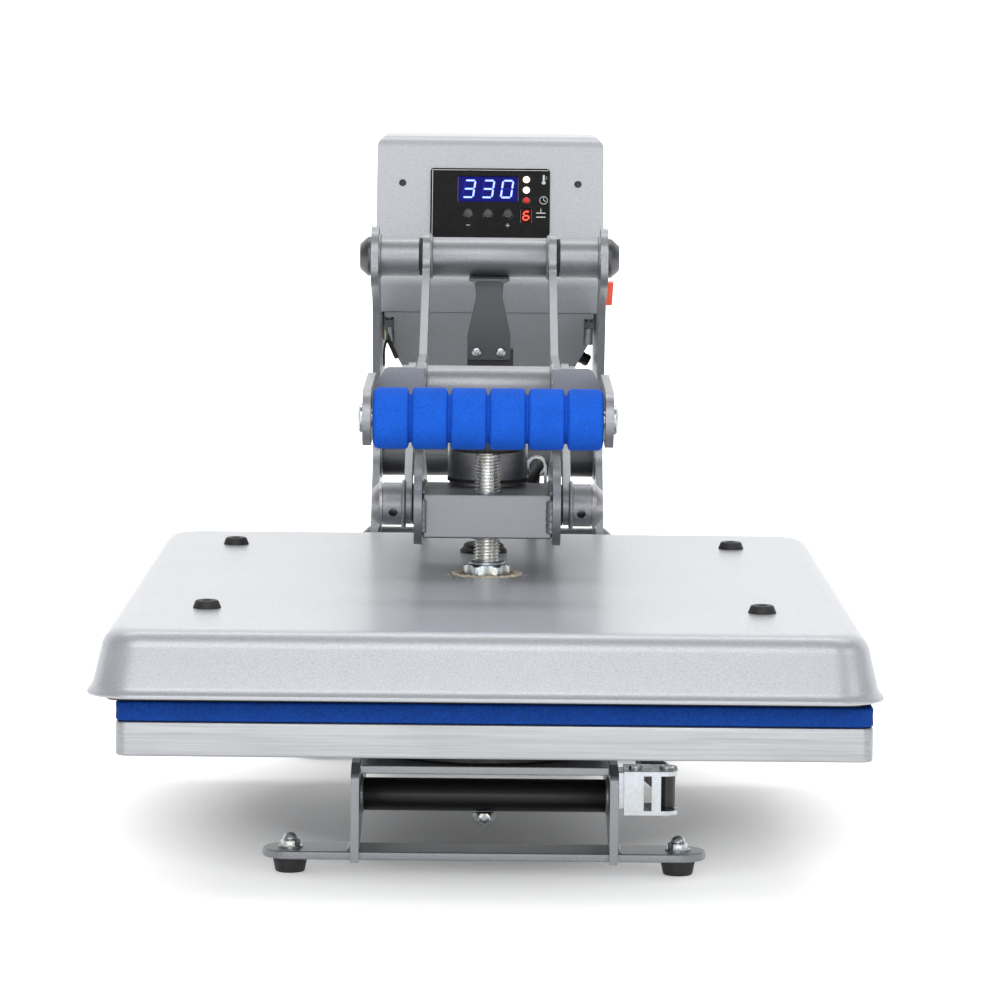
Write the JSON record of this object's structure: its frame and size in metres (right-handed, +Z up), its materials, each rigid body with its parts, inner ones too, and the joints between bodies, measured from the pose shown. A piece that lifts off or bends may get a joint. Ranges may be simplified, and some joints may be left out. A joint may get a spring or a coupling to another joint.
{
  "type": "heat press",
  "caption": "Clamshell heat press with a flat heated platen, a padded lower platen, a toggle handle with a foam grip, a screw pressure adjuster and a tilted digital control box.",
  "frame": {"origin": "on the worktop, under the centre of the press's box", "axes": "+Z up, -Y towards the operator, +X to the operator's right"},
  "size_m": [0.429, 0.8, 0.411],
  "materials": {
    "aluminium": "milled and brushed",
    "black_plastic": "fine grain",
    "black_plate": "dark non-stick coating over aluminium, matt",
    "black_rubber": "matt",
    "blue_display": "lit blue seven-segment display",
    "blue_foam": "closed-cell foam, matt",
    "blue_silicone": "open-cell silicone sponge, matt",
    "board_green": "circuit board",
    "cast_grey": "dark cast finish",
    "grey_paint": "darker grey metallic paint, satin",
    "insulation": "ceramic fibre wool",
    "red_display": "lit red seven-segment display",
    "red_plastic": "moulded",
    "silver_paint": "fine metallic silver powder coat, satin",
    "steel": "machined steel",
    "zinc": "bright zinc plating"
  },
  "bodies": {
    "frame": {"cable_gland": "black_plastic", "control_board": "board_green", "control_housing": "silver_paint", "count_window": "red_display", "display_panel": "black_plastic", "display_window": "blue_display", "front_cross_tube": "grey_paint", "front_foot_bar": "silver_paint", "handle_pivot_shaft": "steel", "heater_lead_frame": "black_rubber", "latch_body": "zinc", "locating_stud": "zinc", "lower_cover": "silver_paint", "lower_platen": "aluminium", "main_pivot_shaft": "steel", "pedestal_disc": "cast_grey", "platform_plate": "silver_paint", "power_inlet": "black_plastic", "rear_cross_tube": "grey_paint", "rear_foot_bar": "silver_paint", "rubber_foot_front_left": "black_rubber", "rubber_foot_front_right": "black_rubber", "rubber_foot_rear_left": "black_rubber", "rubber_foot_rear_right": "black_rubber", "side_plate_left": "silver_paint", "side_plate_right": "silver_paint", "silicone_pad": "blue_silicone"},
    "platen_arms": {"platen_arm_left": "silver_paint", "platen_arm_right": "silver_paint", "pressure_crossbar": "silver_paint", "hold_magnet": "steel", "link_bolt_left": "steel", "link_bolt_right": "steel", "cable_clip": "zinc", "heater_lead_arm": "black_rubber"},
    "heat_head": {"heat_cover": "silver_paint", "heat_plate": "black_plate", "insulation_blanket": "insulation", "heating_element": "steel", "cover_grommet": "black_rubber"},
    "pressure_screw": {"pressure_spindle": "zinc", "pressure_knob": "black_plastic"},
    "toggle_links": {"toggle_link_left": "silver_paint", "toggle_link_right": "silver_paint"},
    "handle": {"handle_arm_left": "silver_paint", "handle_arm_right": "silver_paint", "handle_hub_tube": "silver_paint", "handle_brace_tube": "silver_paint", "foam_grip": "blue_foam", "grip_bolt": "zinc", "strike_plate": "steel", "sensor_bracket": "grey_paint", "sensor_block": "black_plastic"},
    "latch_lever": {"latch_lever": "black_plastic"},
    "power_rocker": {"power_rocker": "red_plastic"},
    "button_minus": {"button_minus": "black_plastic"},
    "button_mode": {"button_mode": "black_plastic"},
    "button_plus": {"button_plus": "black_plastic"}
  },
  "joints": [
    {"name": "main_hinge", "type": "hinge", "parent": "frame", "child": "platen_arms", "pos_m": [0, 0.213, 0.14], "axis": [-1, 0, 0], "range_deg": [0, 36]},
    {"name": "handle_pivot", "type": "hinge", "parent": "frame", "child": "handle", "pos_m": [0, 0.135, 0.336], "axis": [-1, 0, 0], "range_deg": [0, 96.68]},
    {"name": "link_pivot", "type": "hinge", "parent": "platen_arms", "child": "toggle_links", "pos_m": [0, -0.12, 0.2015], "axis": [1, 0, 0], "range_deg": [0, 50.84]},
    {"name": "head_slide", "type": "slide", "parent": "platen_arms", "child": "heat_head", "axis": [0, 0, 1], "range_m": [0, 0.006]},
    {"name": "spindle_turn", "type": "hinge", "parent": "heat_head", "child": "pressure_screw", "pos_m": [0, -0.112, 0.2], "axis": [0, 0, 1], "range_deg": [0, 1080.5]},
    {"name": "latch_pivot", "type": "hinge", "parent": "frame", "child": "latch_lever", "pos_m": [0.104, -0.228, 0.0495], "axis": [0, 0, -1], "range_deg": [0, 90]},
    {"name": "rocker_pivot", "type": "hinge", "parent": "frame", "child": "power_rocker", "pos_m": [0.0765, 0.274, 0.306], "axis": [0, -1, 0], "range_deg": [0, 12]},
    {"name": "press_minus", "type": "slide", "parent": "frame", "child": "button_minus", "axis": [0, 0.9397, -0.342], "range_m": [0, 0.001], "stiffness_N_per_m": 300},
    {"name": "press_mode", "type": "slide", "parent": "frame", "child": "button_mode", "axis": [0, 0.9397, -0.342], "range_m": [0, 0.001], "stiffness_N_per_m": 300},
    {"name": "press_plus", "type": "slide", "parent": "frame", "child": "button_plus", "axis": [0, 0.9397, -0.342], "range_m": [0, 0.001], "stiffness_N_per_m": 300}
  ],
  "couplings": [
    {"joint": "handle_pivot", "follows": "main_hinge", "ratio": 2.6842},
    {"joint": "link_pivot", "follows": "main_hinge", "ratio": 1.4107},
    {"joint": "spindle_turn", "follows": "head_slide", "rad_per_m": 3141.6}
  ]
}
